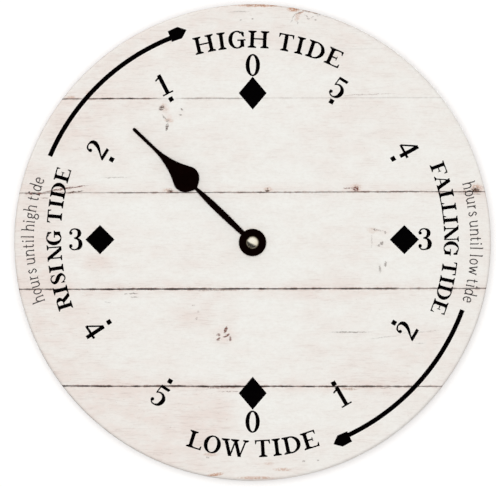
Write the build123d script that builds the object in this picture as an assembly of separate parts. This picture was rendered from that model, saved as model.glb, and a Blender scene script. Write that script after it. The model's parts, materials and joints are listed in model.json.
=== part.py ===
from build123d import *
from math import asin, atan2, cos, pi, radians, sin
import os

os.makedirs("parts", exist_ok=True)

# A round wall clock that shows the tide. One hand goes round once in 12 h 25 min 12 s.
# All sizes are in millimetres. The clock is drawn lying on its back, with X to the right,
# Y up the dial and Z out of the wall towards the viewer. Z is zero on the wall, and the
# hand turns about the line X = 0, Y = 0. The pieces are stood up when they are written.

# Dial
dial_diameter = 266.7
board_thickness = 6.0
edge_round = 1.6
print_thickness = 0.25
print_wrap = 4.6
shaft_hole_diameter = 8.6

# Movement case
case_corner = 3.0
chamber_gap = 0.84
case_wall = 1.2
case_front_wall = 1.5
partition_wall = 1.0
cover_thickness = 1.2
plate_thickness = 1.0
plate_fit = 0.4

# Battery, of the size of a penlight cell
battery_diameter = 14.5
battery_length = 50.5
battery_nub_diameter = 5.5
battery_nub_length = 1.3
battery_edge_round = 0.7
battery_side_gap = 0.25
battery_floor_gap = 0.2
battery_back_gap = 0.1

# Threaded shaft, nut and washers
bushing_diameter = 7.94
bushing_flange_diameter = 12.0
bushing_flange_thickness = 0.7
nut_width = 11.0
nut_thickness = 2.2
washer_diameter = 14.0
washer_thickness = 0.5
gasket_diameter = 24.0
gasket_thickness = 1.0
bushing_stick_out = 0.6

# Hanger, a pressed steel strip round the shaft
hanger_thickness = 0.8
hanger_width = 18.0
hanger_top = 50.0
hanger_wall_gap = 1.5
hanger_bend = 1.8
hanger_corner = 8.0
keyhole_height = 40.0
keyhole_diameter = 8.0
keyhole_slot_width = 4.2
keyhole_slot_length = 6.4

# Hand
hand_length = 92.1
hand_angle = 46.3
hand_thickness = 0.5
hub_diameter = 15.3
hub_lift = 0.8
stem_width_at_hub = 2.7
stem_width = 3.65
stem_width_at_spade = 1.7
spade_start = 43.6
spade_belly = 51.6
spade_width = 15.15
spade_end = 70.5
neck_width = 2.7
needle_width = 1.9
needle_start = 75.5
collet_diameter = 6.6
collet_flange_diameter = 8.4
collet_flange = 0.3

# Cap nut
cap_diameter = 7.5
cap_height = 3.3
cap_skirt = 1.1
cap_edge_round = 0.3

# Motion work, which turns the hand
tide_module = 0.4
tide_teeth = 48
motion_pinion_teeth = 12
motion_teeth = 36
cannon_teeth = 12
motion_angle = 135.0
tube_diameter = 5.0
tube_tip_diameter = 3.0
tube_tip_length = 2.2
motion_arbor_diameter = 2.1
cannon_pivot_diameter = 2.0
tide_hub_diameter = 6.8

# Going train, from the rotor to the centre wheel
centre_module = 0.2
train_module = 0.25
centre_teeth = 69
third_pinion_teeth = 10
third_teeth = 54
fourth_teeth = 36
intermediate_teeth = 30
leaf_count = 6
third_angle = 20.0
fourth_angle = 60.0
intermediate_angle = 110.0
rotor_angle = 170.0
arbor_diameter = 1.0
pivot_diameter = 0.6
boss_diameter = 2.4
centre_arbor_diameter = 1.2
centre_seat_diameter = 1.8
collar_diameter = 3.0
collar_thickness = 0.5
clutch_diameter = 4.8
clutch_thickness = 0.4
clutch_notch = 0.9
clutch_notches = 3

# Tooth form, as shares of the module or of the space from one tooth to the next
root_depth_share = 1.3
wheel_rise_share = 0.9
pinion_rise_share = 0.8
leaf_rise_share = 0.7
wheel_tooth_share = 0.46
fine_tooth_share = 0.49
pinion_tooth_share = 0.40
leaf_tooth_share = 0.34
wheel_tip_share = 0.35
fine_tip_share = 0.45
pinion_tip_share = 0.40

# Heights of wheels and pinions
coil_back_gap = 1.3
wheel_thickness = 1.0
thin_wheel = 0.7
level_gap = 0.4
pinion_reach = 0.3
end_play = 0.1
pivot_length = 0.8
pivot_boss_height = 1.4

# Motor
magnet_diameter = 3.4
magnet_length = 2.0
rotor_hole_diameter = 4.2
stator_thickness = 0.8
stator_ring_width = 1.1
stator_bar_width = 3.0
stator_bar_rise = 0.7
core_width = 3.0
core_half_length = 13.0
coil_wall_gap = 1.1
winding_diameter = 6.0
winding_bore_diameter = 3.9
bobbin_flange_diameter = 6.6
bobbin_flange = 0.8
bobbin_length = 19.0
stator_screw_diameter = 1.4
stator_screw_head = 2.8
stator_screw_head_height = 0.9
stator_screw_bite = 2.0
stator_post_diameter = 3.2

# Circuit board and what is on it
circuit_thickness = 0.8
circuit_width = 13.5
circuit_top = 18.0
circuit_strip = 2.4
circuit_inset = 0.8
chip_diameter = 6.0
chip_height = 1.1
chip_height_on_board = 9.0
crystal_diameter = 2.0
crystal_length = 6.0
crystal_lead_diameter = 0.3
crystal_lead_length = 1.6
crystal_step = 4.5

# Battery contacts
contact_strip = 0.4
contact_width = 6.0
contact_height = 9.0
contact_tail = 2.4
contact_foot = 4.0
leaf_room = 2.65
leaf_foot_height = 8.0
leaf_crest_height = 2.4

# Setting knob
knob_diameter = 9.0
knob_height = 2.4
knob_recess = 0.3
knob_grips = 24
knob_tooth_share = 0.5
knob_tip_share = 0.3
knob_gap = 0.7
well_wall = 0.8
well_floor = 0.8

# Case details
post_diameter = 3.6
peg_diameter = 1.8
peg_height = 0.7
post_inset = 4.0
post_low_height = 5.0
skirt_height = 1.2
skirt_thickness = 0.8
hook_width = 5.0
hook_length = 3.4
hook_height = 8.0
hook_barb = 0.7
hook_barb_length = 1.2
cradle_rib = 1.2
cradle_ribs = 3
finger_notch = 16.0
finger_notch_depth = 5.0

# Fits and cuts
running_fit = 0.05
press_gap = 0.02
loose_fit = 0.15
contact_gap = 0.05
overrun = 1.0

# Heights, from the wall forward
coil_axis = cover_thickness + coil_back_gap + bobbin_flange_diameter / 2
stator_high = coil_axis - stator_thickness / 2
stator_low = stator_high - stator_thickness
core_high = stator_high + stator_thickness
magnet_low = stator_low - (magnet_length - stator_thickness) / 2
fourth_low = magnet_low + pinion_reach
third_low = fourth_low + thin_wheel + level_gap * 2.5
collar_low = third_low + thin_wheel + pinion_reach
centre_low = collar_low + collar_thickness + clutch_thickness
intermediate_low = centre_low - pinion_reach / 2
plate_low = centre_low + thin_wheel + level_gap * 1.5
plate_high = plate_low + plate_thickness
circuit_low = plate_low - circuit_thickness
cannon_low = plate_high + level_gap
motion_wheel_low = cannon_low + level_gap
motion_wheel_top = motion_wheel_low + wheel_thickness
cannon_top = motion_wheel_top + pinion_reach
tide_hub_low = motion_wheel_top + level_gap * 1.5
tide_wheel_low = tide_hub_low + level_gap
train_top = tide_wheel_low + wheel_thickness + level_gap + end_play
battery_z = battery_back_gap + battery_diameter / 2
battery_top = battery_z + battery_diameter / 2 + battery_floor_gap
case_depth = max(train_top + case_front_wall, battery_top + case_wall)
chamber_top = case_depth - case_front_wall
tide_hub_top = chamber_top - end_play
bay_floor = case_depth - case_wall

gasket_low = case_depth + hanger_thickness
board_low = gasket_low + gasket_thickness
board_high = board_low + board_thickness
dial_face = board_high + print_thickness
nut_low = dial_face + washer_thickness
bushing_end = nut_low + nut_thickness + bushing_stick_out
hand_low = bushing_end + hub_lift
hand_high = hand_low + hand_thickness

# The case is as wide as the cell with its contacts, and as tall as the cell and the tide wheel need
tide_wheel_radius = tide_module * (tide_teeth / 2 + wheel_rise_share)
width_need = battery_length + leaf_room + contact_strip + contact_gap
bay_height = battery_diameter + 2 * battery_side_gap
height_need = 2 * (bay_height + partition_wall + chamber_gap + tide_wheel_radius)
inner_half = max(width_need, height_need) / 2
half_case = inner_half + case_wall
battery_y = battery_side_gap + battery_diameter / 2 - inner_half
partition_low = battery_y + battery_diameter / 2 + battery_side_gap
partition_top = partition_low + partition_wall
coil_height = inner_half - coil_wall_gap - bobbin_flange_diameter / 2


def place_at(start, angle, distance):
    """The point at a distance from a start, at an angle from the X axis in degrees."""
    return (start[0] + distance * cos(radians(angle)), start[1] + distance * sin(radians(angle)))


def centre_distance(module, teeth, other_teeth):
    return module * (teeth + other_teeth) / 2


hand_axis = (0, 0)
motion_distance = centre_distance(tide_module, tide_teeth, motion_pinion_teeth)
cannon_module = 2 * motion_distance / (motion_teeth + cannon_teeth)
motion_place = place_at(hand_axis, motion_angle, motion_distance)
third_place = place_at(hand_axis, third_angle,
                       centre_distance(centre_module, centre_teeth, third_pinion_teeth))
fourth_place = place_at(third_place, fourth_angle,
                        centre_distance(train_module, third_teeth, leaf_count))
intermediate_place = place_at(fourth_place, intermediate_angle,
                              centre_distance(train_module, fourth_teeth, leaf_count))
rotor_place = place_at(intermediate_place, rotor_angle,
                       centre_distance(train_module, intermediate_teeth, leaf_count))
post_places = [(side * (inner_half - post_inset), height)
               for side in (-1, 1)
               for height in (inner_half - post_inset, -post_low_height)]
pivot_places = [third_place, fourth_place, intermediate_place, rotor_place]


# Shared helpers

def rod(diameter, low, high, place=hand_axis):
    """A round bar that stands on the dial, from one height to another."""
    bar = Cylinder(diameter / 2, high - low, align=(Align.CENTER, Align.CENTER, Align.MIN))
    return Pos(place[0], place[1], low) * bar


def ring(outer, inner, low, high, place=hand_axis):
    return rod(outer, low, high, place) - rod(inner, low - overrun, high + overrun, place)


def block(left, right, bottom, top, low, high):
    """A box between two X, two Y and two Z values."""
    shape = Box(right - left, top - bottom, high - low, align=(Align.MIN, Align.MIN, Align.MIN))
    return Pos(left, bottom, low) * shape


def slab(outline, low, high):
    """A flat outline made solid, from one height to another."""
    return extrude(Pos(0, 0, low) * outline, high - low)


def rounded_block(left, right, bottom, top, low, high, corner):
    outline = RectangleRounded(right - left, top - bottom, corner)
    return slab(Pos((left + right) / 2, (bottom + top) / 2) * outline, low, high)


# Teeth

def mate_phase(teeth, module, phase, direction, other_teeth):
    """The turn of the other wheel, in radians, that puts its gap over this wheel's tooth."""
    reach = teeth * module / 2 * (phase - direction) + pi * module / 2
    return direction + pi - reach / (other_teeth * module / 2)


def tooth_outline(teeth, module, phase, rise_share, tooth_share, tip_share, shouldered):
    """A closed outline of teeth with narrowing tips, and with radial roots where they are shouldered."""
    pitch_radius = teeth * module / 2
    root_radius = pitch_radius - root_depth_share * module
    tip_radius = pitch_radius + rise_share * module
    half_tooth = tooth_share * pi * module / 2 / pitch_radius
    half_tip = tip_share * half_tooth
    flank = [(root_radius, half_tooth), (tip_radius, half_tip)]
    if shouldered:
        flank.insert(1, (pitch_radius, half_tooth))
    corners = []
    for count in range(teeth):
        middle = phase + 2 * pi * count / teeth
        corners += [(radius, middle - half) for radius, half in flank]
        corners += [(radius, middle + half) for radius, half in reversed(flank)]
    points = [(radius * cos(angle), radius * sin(angle)) for radius, angle in corners]
    return make_face(Polyline(*points, close=True))


def toothed(place, low, high, teeth, module, phase, kind):
    """A wheel, a fine wheel, a pinion or a pinion of few leaves, as a solid disc with teeth."""
    shares = {
        "wheel": (wheel_rise_share, wheel_tooth_share, wheel_tip_share, True),
        "fine": (wheel_rise_share, fine_tooth_share, fine_tip_share, False),
        "pinion": (pinion_rise_share, pinion_tooth_share, pinion_tip_share, True),
        "leaves": (leaf_rise_share, leaf_tooth_share, pinion_tip_share, True),
    }[kind]
    outline = tooth_outline(teeth, module, phase, *shares)
    return Pos(place[0], place[1], 0) * slab(outline, low, high)


def direction_to(start, end):
    return atan2(end[1] - start[1], end[0] - start[0])


# Dial pieces

def dial_board():
    """The round hardboard, with its front edge cut back under the rounded skin."""
    board = rod(dial_diameter - 2 * print_thickness, board_low, board_high)
    front_edge = board.edges().group_by(Axis.Z)[-1]
    board = chamfer(front_edge, edge_round)
    return board - rod(shaft_hole_diameter, board_low - overrun, board_high + overrun)


def face_print():
    """The printed skin, glued over the front and rounded down over the edge."""
    outer = dial_diameter / 2
    inner = outer - print_thickness
    low = dial_face - print_wrap
    outer_round = edge_round + print_thickness
    diagonal = cos(pi / 4)
    bend_centre = (inner - edge_round, board_high - edge_round)
    section = Curve() + [
        Line((shaft_hole_diameter / 2, board_high), (bend_centre[0], board_high)),
        Line((bend_centre[0], board_high), (inner, bend_centre[1])),
        Line((inner, bend_centre[1]), (inner, low)),
        Line((inner, low), (outer, low)),
        Line((outer, low), (outer, bend_centre[1])),
        ThreePointArc((outer, bend_centre[1]),
                      (bend_centre[0] + outer_round * diagonal, bend_centre[1] + outer_round * diagonal),
                      (bend_centre[0], dial_face)),
        Line((bend_centre[0], dial_face), (shaft_hole_diameter / 2, dial_face)),
        Line((shaft_hole_diameter / 2, dial_face), (shaft_hole_diameter / 2, board_high)),
    ]
    return revolve(Plane.XZ * make_face(section), Axis.Z)


# Hanger, gasket, washer, nut and bushing

def strip_edge(offset):
    """One face of the bent strip, seen from the side, at an offset from its middle line."""
    step = half_case + hanger_bend + offset
    front = case_depth + hanger_thickness / 2 + offset
    back = hanger_wall_gap + hanger_thickness / 2 + offset
    points = [(-hanger_width / 2, front), (step, front), (step, back), (hanger_top, back)]
    return points, FilletPolyline(*points, radius=[hanger_bend + offset, hanger_bend - offset])


def hanger():
    """A strip clamped behind the dial, stepped back to the wall above the case, with a keyhole."""
    half = hanger_thickness / 2
    front_points, front_edge = strip_edge(half)
    back_points, back_edge = strip_edge(-half)
    side = make_face(Curve() + [front_edge, back_edge, Line(front_points[0], back_points[0]),
                                Line(front_points[-1], back_points[-1])])
    strip = extrude(Plane.YZ * side, hanger_width / 2, both=True)
    low = front_points[0][0]
    outline = RectangleRounded(hanger_width, hanger_top - low, hanger_corner)
    strip = strip & slab(Pos(0, (hanger_top + low) / 2) * outline, 0, board_low)
    strip -= rod(bushing_diameter + 2 * loose_fit, case_depth - overrun, board_low)
    strip -= rod(keyhole_diameter, 0, case_depth / 2, (0, keyhole_height))
    slot = SlotCenterToCenter(keyhole_slot_length, keyhole_slot_width, rotation=90)
    strip -= slab(Pos(0, keyhole_height + keyhole_slot_length / 2) * slot, 0, case_depth / 2)
    return strip


def rubber_gasket():
    return ring(gasket_diameter, bushing_diameter + 2 * loose_fit, gasket_low, board_low)


def front_washer():
    return ring(washer_diameter, bushing_diameter + 2 * loose_fit, dial_face, nut_low)


def hex_nut():
    """A flat hexagon nut with its corners turned off on the front."""
    high = nut_low + nut_thickness
    nut = slab(RegularPolygon(nut_width / 2, 6, major_radius=False), nut_low, high)
    corner = nut_width / cos(pi / 6)
    turned = rod(corner, nut_low, high)
    turned = chamfer(turned.edges().group_by(Axis.Z)[-1], (corner - nut_width) / 2)
    nut = nut & turned
    return nut - rod(bushing_diameter + 2 * press_gap, nut_low - overrun, high + overrun)


def threaded_bushing():
    """The brass bushing that clamps the dial, with its flange let into the case from inside."""
    flange_high = chamber_top + bushing_flange_thickness
    bushing = rod(bushing_diameter, chamber_top, bushing_end)
    bushing = chamfer(bushing.edges().group_by(Axis.Z)[-1], bushing_stick_out / 2)
    bushing += rod(bushing_flange_diameter, chamber_top, flange_high)
    return bushing - rod(tube_diameter + 2 * running_fit, chamber_top - overrun, bushing_end + overrun)


# Hand pieces

def hand_outline():
    """The blade of the hand, pointing up from the axis: a stem, a spade and a needle."""
    half_belly = spade_width / 2
    half_stem_end = stem_width_at_spade / 2
    half_neck = neck_width / 2
    half_needle = needle_width / 2
    base = spade_belly - spade_start
    flank = spade_end - spade_belly
    root_share, root_height_share, swell_share, swell_height_share = 0.64, 0.13, 1.64, 0.62
    foot_share, shoulder_share, lift_share = 0.445, 0.395, 0.19
    crown_share, waist_share, waist_width_share = 0.147, 0.33, 0.44
    tip_straight = hand_length - half_needle
    right = [
        Line((0, 0), (stem_width_at_hub / 2, 0)),
        Bezier((stem_width_at_hub / 2, 0),
               (stem_width_at_hub / 2 * root_share, spade_start * root_height_share),
               (stem_width / 2 * swell_share, spade_start * swell_height_share),
               (half_stem_end, spade_start)),
        Bezier((half_stem_end, spade_start),
               (half_stem_end + half_belly * foot_share, spade_start + base * lift_share),
               (half_belly, spade_belly - base * (1 - shoulder_share)),
               (half_belly, spade_belly)),
        Bezier((half_belly, spade_belly), (half_belly, spade_belly + flank * crown_share),
               (half_belly * waist_width_share, spade_belly + flank * waist_share),
               (half_neck, spade_end)),
        Line((half_neck, spade_end), (half_needle, needle_start)),
        Line((half_needle, needle_start), (half_needle, tip_straight)),
    ]
    left = [edge.mirror(Plane.YZ) for edge in right]
    tip = ThreePointArc((half_needle, tip_straight), (0, hand_length), (-half_needle, tip_straight))
    return make_face(Curve() + right + [tip] + left)


def tide_hand():
    """The stamped hand, turned to where it stands at rest."""
    blade = slab(hand_outline(), hand_low, hand_high) + rod(hub_diameter, hand_low, hand_high)
    blade -= rod(collet_diameter + 2 * press_gap, hand_low - overrun, hand_high + overrun)
    return Rot(Z=hand_angle) * blade


def hand_collet():
    """The brass bush riveted into the hand, with its flange behind the sheet."""
    collet = rod(collet_flange_diameter, hand_low - collet_flange, hand_low)
    collet += rod(collet_diameter, hand_low - collet_flange, hand_high)
    return collet - rod(tube_diameter + 2 * press_gap, hand_low - overrun, hand_high + overrun)


def cap_nut():
    """The domed nut that holds the hand on, screwed on the tip of the tube."""
    radius = cap_diameter / 2
    top = hand_high + cap_height
    shoulder = hand_high + cap_skirt
    rise = cap_height - cap_skirt
    dome_radius = (radius ** 2 + rise ** 2) / (2 * rise)
    half_angle = asin(radius / dome_radius) / 2
    crown = (dome_radius * sin(half_angle), top - dome_radius * (1 - cos(half_angle)))
    bore = tube_tip_diameter / 2 + press_gap
    bore_top = hand_high + tube_tip_length + end_play
    section = Curve() + [
        Line((bore, hand_high), (radius - cap_edge_round, hand_high)),
        Line((radius - cap_edge_round, hand_high), (radius, hand_high + cap_edge_round)),
        Line((radius, hand_high + cap_edge_round), (radius, shoulder)),
        ThreePointArc((radius, shoulder), crown, (0, top)),
        Line((0, top), (0, bore_top)),
        Line((0, bore_top), (bore, bore_top)),
        Line((bore, bore_top), (bore, hand_high)),
    ]
    return revolve(Plane.XZ * make_face(section), Axis.Z)


# Motion work

def tide_wheel():
    """The wheel behind the hand, moulded with the tube that comes out through the bushing."""
    wheel = toothed(hand_axis, tide_wheel_low, tide_wheel_low + wheel_thickness,
                    tide_teeth, tide_module, 0, "wheel")
    wheel += rod(tide_hub_diameter, tide_hub_low, tide_hub_top)
    wheel += rod(tube_diameter, tide_hub_low, hand_high)
    wheel += rod(tube_tip_diameter, hand_high, hand_high + tube_tip_length)
    cannon_bore = rod(cannon_pivot_diameter + 2 * running_fit, tide_hub_low - overrun, chamber_top)
    return wheel - cannon_bore


def motion_wheel():
    """The motion wheel and its pinion on one arbor, which also carries the setting knob."""
    toward_hand = direction_to(motion_place, hand_axis)
    pinion_phase = mate_phase(tide_teeth, tide_module, 0, direction_to(hand_axis, motion_place),
                              motion_pinion_teeth)
    wheel = toothed(motion_place, motion_wheel_low, motion_wheel_top,
                    motion_teeth, cannon_module, toward_hand, "wheel")
    wheel += toothed(motion_place, motion_wheel_top, tide_wheel_low + wheel_thickness + end_play,
                     motion_pinion_teeth, tide_module, pinion_phase, "pinion")
    wheel += rod(motion_arbor_diameter, knob_recess + knob_height / 2, motion_wheel_low, motion_place)
    wheel += rod(pivot_diameter * 2, motion_wheel_top, chamber_top + pivot_length, motion_place)
    return wheel


def cannon_pinion():
    """The pinion on the centre arbor, which slips in the centre wheel while the hand is set."""
    toward_hand = direction_to(motion_place, hand_axis)
    phase = mate_phase(motion_teeth, cannon_module, toward_hand, toward_hand, cannon_teeth)
    pinion = toothed(hand_axis, cannon_low, cannon_top, cannon_teeth, cannon_module, phase,
                     "pinion")
    pinion += rod(cannon_pivot_diameter, cannon_top, chamber_top - end_play)
    pinion += rod(collar_diameter, centre_low + thin_wheel, cannon_low)
    pinion += rod(centre_seat_diameter, collar_low, centre_low + thin_wheel)
    pinion += rod(collar_diameter, collar_low, collar_low + collar_thickness)
    pinion += rod(centre_arbor_diameter, cover_thickness + pivot_length / 2, collar_low)
    return pinion


def set_knob():
    """The setting knob, sunk in its well at the back, with a toothed edge to grip."""
    module = knob_diameter / (knob_grips + 2 * wheel_rise_share)
    outline = tooth_outline(knob_grips, module, 0, wheel_rise_share, knob_tooth_share, knob_tip_share, False)
    knob = Pos(motion_place[0], motion_place[1], 0) * slab(outline, knob_recess, knob_recess + knob_height)
    socket_low = knob_recess + knob_height / 2
    return knob - rod(motion_arbor_diameter + 2 * press_gap, socket_low,
                      knob_recess + knob_height + overrun, motion_place)


# Going train

def train_arbor(place):
    """A plain arbor between the rear cover and the middle plate, with a pivot at each end."""
    low = cover_thickness + pivot_boss_height + end_play
    high = plate_low - end_play
    arbor = rod(arbor_diameter, low, high, place)
    return arbor + rod(pivot_diameter, low - pivot_length, high + pivot_length, place)


def centre_wheel():
    """The centre wheel, which drives the cannon arbor by friction."""
    wheel = toothed(hand_axis, centre_low, centre_low + thin_wheel, centre_teeth, centre_module,
                    0, "fine")
    return wheel - rod(centre_seat_diameter + 2 * press_gap, centre_low - overrun,
                       centre_low + thin_wheel + overrun)


def clutch_spring():
    """The springy washer that presses the centre wheel against the cannon shoulder."""
    low = centre_low - clutch_thickness
    washer = ring(clutch_diameter, centre_seat_diameter + 2 * press_gap, low, centre_low)
    for count in range(clutch_notches):
        notch = place_at(hand_axis, 360 * count / clutch_notches, clutch_diameter / 2)
        washer -= rod(clutch_notch * 2, low - overrun, centre_low + overrun, notch)
    return washer


def third_wheel():
    phase = mate_phase(centre_teeth, centre_module, 0, radians(third_angle), third_pinion_teeth)
    wheel = train_arbor(third_place)
    wheel += toothed(third_place, centre_low - pinion_reach, centre_low + thin_wheel + pinion_reach,
                     third_pinion_teeth, centre_module, phase, "pinion")
    return wheel + toothed(third_place, third_low, third_low + thin_wheel, third_teeth,
                           train_module, radians(fourth_angle), "fine")


def leaf_phase(wheel_teeth, angle):
    """The turn of a six-leaf pinion beside a wheel whose tooth points along the line of centres."""
    return mate_phase(wheel_teeth, train_module, radians(angle), radians(angle), leaf_count)


def fourth_wheel():
    """The wheel that turns once a minute."""
    wheel = train_arbor(fourth_place)
    wheel += toothed(fourth_place, third_low - pinion_reach, third_low + thin_wheel + pinion_reach,
                     leaf_count, train_module, leaf_phase(third_teeth, fourth_angle), "leaves")
    return wheel + toothed(fourth_place, fourth_low, fourth_low + thin_wheel, fourth_teeth,
                           train_module, radians(intermediate_angle), "fine")


def intermediate_wheel():
    wheel = train_arbor(intermediate_place)
    wheel += toothed(intermediate_place, fourth_low - pinion_reach,
                     fourth_low + thin_wheel + pinion_reach, leaf_count, train_module,
                     leaf_phase(fourth_teeth, intermediate_angle), "leaves")
    return wheel + toothed(intermediate_place, intermediate_low, intermediate_low + thin_wheel,
                           intermediate_teeth, train_module, radians(rotor_angle), "fine")


def rotor():
    """The rotor arbor with its six-leaf pinion."""
    arbor = train_arbor(rotor_place)
    return arbor + toothed(rotor_place, intermediate_low - pinion_reach,
                           intermediate_low + thin_wheel + pinion_reach, leaf_count, train_module,
                           leaf_phase(intermediate_teeth, rotor_angle), "leaves")


def rotor_magnet():
    return ring(magnet_diameter, arbor_diameter + 2 * press_gap, magnet_low,
                magnet_low + magnet_length, rotor_place)


# Motor

def stator():
    """The soft iron plate round the rotor, with a leg at each side up to the coil core."""
    ring_diameter = rotor_hole_diameter + 2 * stator_ring_width
    bar_low = rotor_place[1] + stator_bar_rise
    left = rotor_place[0] - core_half_length
    right = rotor_place[0] + core_half_length
    leg_top = coil_height + core_width / 2
    plate = block(left, right, bar_low, bar_low + stator_bar_width, stator_low, stator_high)
    for side in (-1, 1):
        outer = rotor_place[0] + side * core_half_length
        inner = outer - side * core_width
        plate += block(min(outer, inner), max(outer, inner), bar_low, leg_top, stator_low, stator_high)
    plate += rod(ring_diameter, stator_low, stator_high, rotor_place)
    plate -= rod(rotor_hole_diameter, stator_low - overrun, stator_high + overrun, rotor_place)
    return cut_screw_holes(plate, stator_low, stator_high)


def screw_places():
    reach = core_half_length - core_width / 2
    return [(rotor_place[0] + side * reach, coil_height) for side in (-1, 1)]


def cut_screw_holes(shape, low, high):
    for place in screw_places():
        shape -= rod(stator_screw_diameter + 2 * loose_fit, low - overrun, high + overrun, place)
    return shape


def coil_core():
    bar = block(rotor_place[0] - core_half_length, rotor_place[0] + core_half_length,
                coil_height - core_width / 2, coil_height + core_width / 2, stator_high, core_high)
    return cut_screw_holes(bar, stator_high, core_high)


def lying_ring(outer, bore, half_length, offset=0):
    """A round sleeve along the coil, centred beside the rotor axis, with a bore."""
    turn = Pos(rotor_place[0] + offset, coil_height, (stator_high + core_high) / 2) * Rot(Y=90)
    sleeve = turn * Cylinder(outer / 2, 2 * half_length)
    return sleeve - turn * Cylinder(bore / 2, 2 * half_length + 2 * overrun) if bore else sleeve


def coil_bobbin():
    """The plastic bobbin, slid over the core, with a flange at each end."""
    half = bobbin_length / 2
    bobbin = lying_ring(winding_bore_diameter, 0, half)
    for side in (-1, 1):
        bobbin += lying_ring(bobbin_flange_diameter, 0, bobbin_flange / 2,
                             side * (half - bobbin_flange / 2))
    slot = block(rotor_place[0] - half - overrun, rotor_place[0] + half + overrun,
                 coil_height - core_width / 2, coil_height + core_width / 2, stator_high, core_high)
    return bobbin - slot


def coil_winding():
    return lying_ring(winding_diameter, winding_bore_diameter, bobbin_length / 2 - bobbin_flange)


def stator_screws():
    """The two small screws through the stator and the core into the middle plate."""
    screws = []
    for place in screw_places():
        head_low = stator_low - stator_screw_head_height
        head = rod(stator_screw_head, head_low, stator_low, place)
        head = chamfer(head.edges().group_by(Axis.Z)[0], stator_screw_head_height / 3)
        screws.append(head + rod(stator_screw_diameter, stator_low, core_high + stator_screw_bite, place))
    return Compound(screws)


# Circuit

def circuit_board():
    """An L-shaped board on the back of the middle plate, with a strip to the far contact."""
    left = circuit_inset - inner_half
    bottom = partition_top + circuit_inset / 2
    board = block(left, left + circuit_width, bottom, circuit_top, circuit_low, plate_low)
    board += block(left, inner_half - circuit_inset, bottom, bottom + circuit_strip, circuit_low, plate_low)
    return board


def chip_blob():
    """The drop of resin over the chip."""
    radius = chip_diameter / 2
    ball = (radius ** 2 + chip_height ** 2) / (2 * chip_height)
    place = (circuit_inset - inner_half + circuit_width / 2, chip_height_on_board)
    drop = Pos(place[0], place[1], circuit_low - chip_height + ball) * Sphere(ball)
    return drop & rod(chip_diameter + overrun, circuit_low - 2 * chip_height, circuit_low, place)


def quartz_crystal():
    """A small round can lying on the board, with two wires bent down to it."""
    x = circuit_inset - inner_half + crystal_step
    y = bottom_of_crystal()
    z = circuit_low - crystal_diameter / 2
    can = Pos(x, y + crystal_length / 2, z) * Rot(X=90) * Cylinder(crystal_diameter / 2, crystal_length)
    can = chamfer(can.edges().group_by(Axis.Y)[-1], crystal_diameter / 8)
    for side in (-1, 1):
        wire = x + side * crystal_diameter / 4
        half = crystal_lead_diameter / 2
        can += block(wire - half, wire + half, y - crystal_lead_length, y, z - half, z + half)
        can += block(wire - half, wire + half, y - crystal_lead_length - half,
                     y - crystal_lead_length + half, z - half, circuit_low)
    return can


def bottom_of_crystal():
    return -post_low_height + post_diameter / 2 + crystal_lead_length + 2 * crystal_lead_diameter


# Battery and its contacts

def battery_middle():
    return inner_half - contact_strip - contact_gap - battery_length / 2


def battery():
    """A penlight cell lying across the bottom of the case, its nub to the right."""
    radius = battery_diameter / 2
    left = battery_middle() - battery_length / 2
    can_length = battery_length - battery_nub_length
    turn = Rot(Y=90)
    can = Pos(left + can_length / 2, battery_y, battery_z) * turn * Cylinder(radius, can_length)
    can = chamfer(can.edges().filter_by(GeomType.CIRCLE), battery_edge_round)
    nub_middle = left + can_length + battery_nub_length / 2
    nub = turn * Cylinder(battery_nub_diameter / 2, battery_nub_length)
    return can + Pos(nub_middle, battery_y, battery_z) * nub


def contact_tail_piece(side):
    """The riser over the partition and the foot that lies on the circuit board."""
    wall = side * inner_half
    inside = side * (inner_half - contact_strip)
    foot_inside = side * (inner_half - contact_foot)
    foot_low = circuit_low - contact_strip
    foot_top = partition_top + circuit_inset / 2 + contact_tail
    riser = block(min(wall, inside), max(wall, inside), battery_y, foot_top, foot_low,
                  foot_low + contact_tail)
    foot = block(min(wall, foot_inside), max(wall, foot_inside), partition_top + circuit_inset / 2,
                 foot_top, foot_low, circuit_low)
    return riser + foot


def positive_contact():
    """The flat plate that the nub presses on, in one strip with its tail."""
    plate = block(inner_half - contact_strip, inner_half, battery_y - contact_width / 2,
                  battery_y + contact_width / 2, battery_z - contact_height / 2,
                  battery_z + contact_height / 2)
    return plate + contact_tail_piece(1)


def leaf_side(foot, crest):
    """One face of the bent leaf, from foot to foot over its flat crest."""
    half = leaf_foot_height / 2
    crest_half = leaf_crest_height / 2
    return Polyline((foot, -half), (crest, -crest_half), (crest, crest_half), (foot, half))


def negative_contact():
    """The bent leaf that presses on the flat end, in one strip with its tail."""
    wall = -inner_half
    inside = wall + contact_strip
    crest = battery_middle() - battery_length / 2 - contact_gap
    half = leaf_foot_height / 2
    leaf_face = make_face(Curve() + [
        leaf_side(wall, crest - contact_strip),
        Line((wall, half), (inside, half)),
        leaf_side(inside, crest),
        Line((inside, -half), (wall, -half)),
    ])
    leaf = extrude(Pos(0, battery_y, battery_z) * leaf_face, contact_width / 2, both=True)
    plate = block(wall, inside, battery_y - contact_height / 2, battery_y + contact_height / 2,
                  battery_z - contact_width / 2, battery_z + contact_width / 2)
    return leaf + plate + contact_tail_piece(-1)


# Case, cover and plate

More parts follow.
